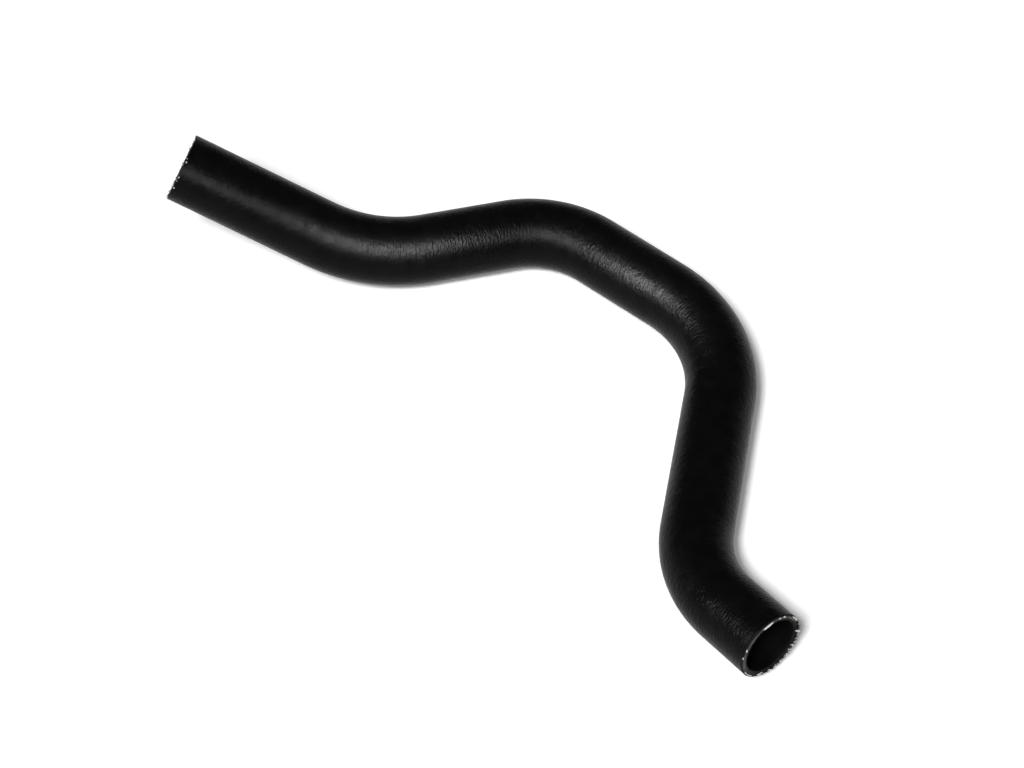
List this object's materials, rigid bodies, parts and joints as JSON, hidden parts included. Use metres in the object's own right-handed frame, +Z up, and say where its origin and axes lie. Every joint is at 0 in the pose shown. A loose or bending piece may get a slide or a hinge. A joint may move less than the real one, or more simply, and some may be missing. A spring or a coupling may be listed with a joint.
{
  "type": "coolant hose",
  "caption": "Moulded rubber coolant hose with a round through bore, straight legs joined by set bends, and plain square-cut ends.",
  "frame": {"origin": "floor level, under the middle of the hose's box as it lies at rest", "axes": "+Z up from the floor. +X along the longest extent, from the long end towards the short end. +Y towards the side where the long end lies, away from the short end."},
  "size_m": [0.3722, 0.3532, 0.0903],
  "materials": {
    "moulded_rubber": "satin black, with the knitted reinforcement showing faintly through the cover",
    "reinforcement_yarn": "pale cut yarn ends in the wall"
  },
  "bodies": {
    "root": {"hose": "moulded_rubber"}
  },
  "joints": []
}
